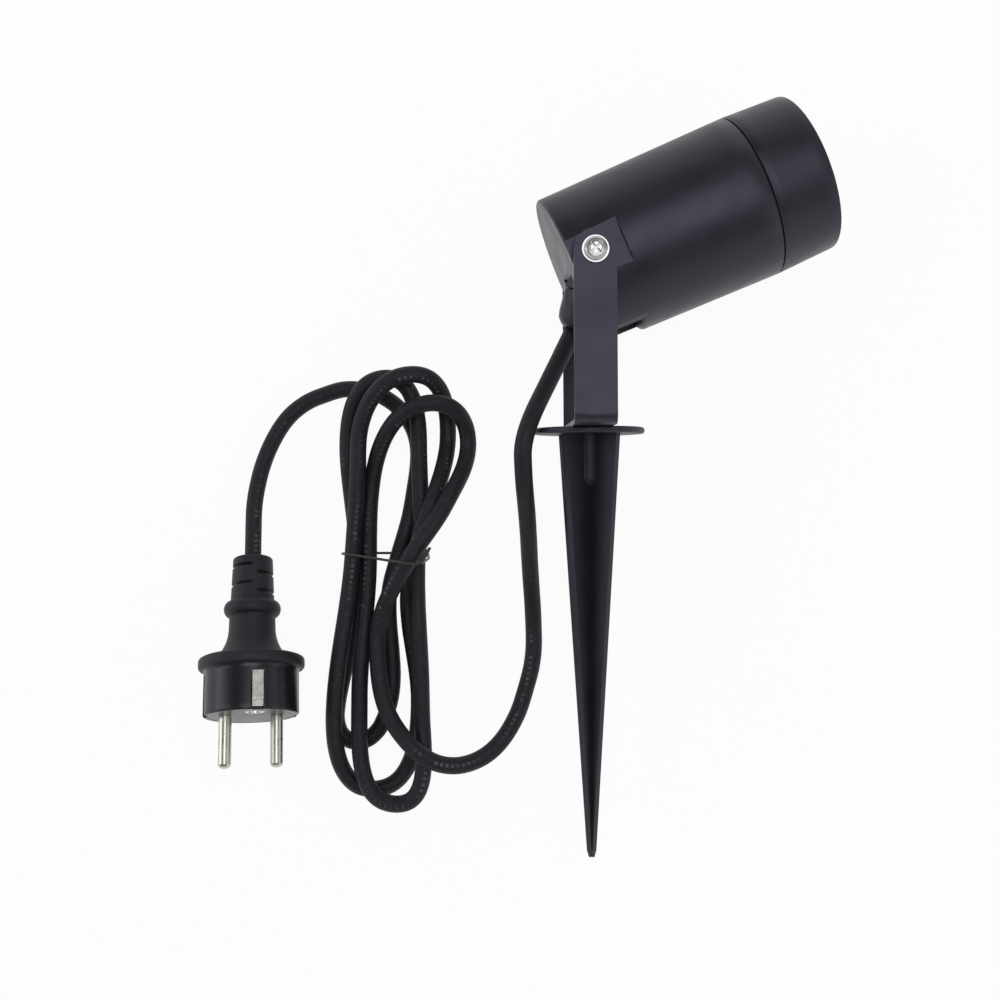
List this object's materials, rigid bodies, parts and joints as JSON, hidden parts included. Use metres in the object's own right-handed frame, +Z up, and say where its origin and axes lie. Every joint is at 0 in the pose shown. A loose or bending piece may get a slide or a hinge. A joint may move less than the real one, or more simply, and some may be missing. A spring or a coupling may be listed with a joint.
{
  "type": "garden spike spotlight",
  "caption": "Outdoor spotlight: tilting barrel head on a U bracket with a ground spike, screw ring over the glass, and a mains lead folded into a tied hank.",
  "frame": {"origin": "bottom centre of the lamp's own box, on the surface that the lamp lies on", "axes": "+Z up from the surface, +Y from the spike's tip towards its head, +X the side that the lamp head looks to"},
  "size_m": [0.2372, 0.2724, 0.0691],
  "materials": {
    "bracket_steel": "satin black powder coat",
    "head_aluminium": "satin black powder coat",
    "spike_plastic": "matt black moulded",
    "seal_rubber": "matt",
    "gland_nylon": "moulded black",
    "zinc_steel": "bright zinc",
    "brass": "turned",
    "spacer_nylon": "matt",
    "bulb_shell": "white moulded",
    "bulb_cover": "opal",
    "nickel": "nickel plated",
    "ceramic": "glazed",
    "block_plastic": "moulded",
    "wire_insulation": "smooth",
    "clear_glass": "clear",
    "cord_rubber": "matt rubber sheath",
    "tie_wire": "plastic-covered wire",
    "plug_rubber": "matt moulded rubber",
    "plug_face_plastic": "semi-gloss"
  },
  "bodies": {
    "bracket": {"yoke": "bracket_steel", "lamp_lead": "cord_rubber", "cable_hank": "cord_rubber", "plug_lead": "cord_rubber", "cable_tie": "tie_wire", "plug_body": "plug_rubber", "plug_face": "plug_face_plastic", "plug_pins": "nickel", "plug_earth_clips": "nickel", "plug_earth_socket": "nickel"},
    "head": {"head_housing": "head_aluminium", "ring_seal": "seal_rubber", "gland_body": "gland_nylon", "gland_seal": "seal_rubber", "gland_nut": "gland_nylon", "inlet_cable": "cord_rubber", "pivot_screws": "zinc_steel", "pivot_washers": "zinc_steel", "friction_spacers": "spacer_nylon", "bulb_body": "bulb_shell", "bulb_cover": "bulb_cover", "bulb_pins": "nickel", "lampholder": "ceramic", "holder_plate": "zinc_steel", "holder_screws": "zinc_steel", "terminal_block": "block_plastic", "supply_wires": "wire_insulation", "lamp_wires": "wire_insulation", "earth_screw": "brass"},
    "glass": {"glass_lens": "clear_glass", "glass_gasket": "seal_rubber"},
    "ring": {"front_ring": "head_aluminium"},
    "spike": {"spike": "spike_plastic", "threaded_insert": "brass", "spike_bolt": "zinc_steel", "bolt_washer": "zinc_steel"}
  },
  "joints": [
    {"name": "head_tilt", "type": "hinge", "parent": "bracket", "child": "head", "pos_m": [-0.03421, 0.07728, 0.03453], "axis": [0.0998, -0.0458, 0.994], "range_deg": [-60, 67], "deforming": ["lamp_lead"]},
    {"name": "spike_swivel", "type": "hinge", "parent": "bracket", "child": "spike", "pos_m": [-0.03421, 0.01824, 0.03181], "axis": [0, 0.9989, 0.046], "range_deg": [-175, 175]},
    {"name": "glass_slide", "type": "slide", "parent": "head", "child": "glass", "axis": [0.9173, 0.3913, -0.074], "range_m": [0, 0.00601]},
    {"name": "ring_turn", "type": "hinge", "parent": "glass", "child": "ring", "pos_m": [0.04302, 0.11023, 0.0283], "axis": [0.9173, 0.3913, -0.074], "range_deg": [0, 1080]}
  ],
  "couplings": [
    {"joint": "glass_slide", "follows": "ring_turn", "m_per_rad": 0.00031831}
  ]
}
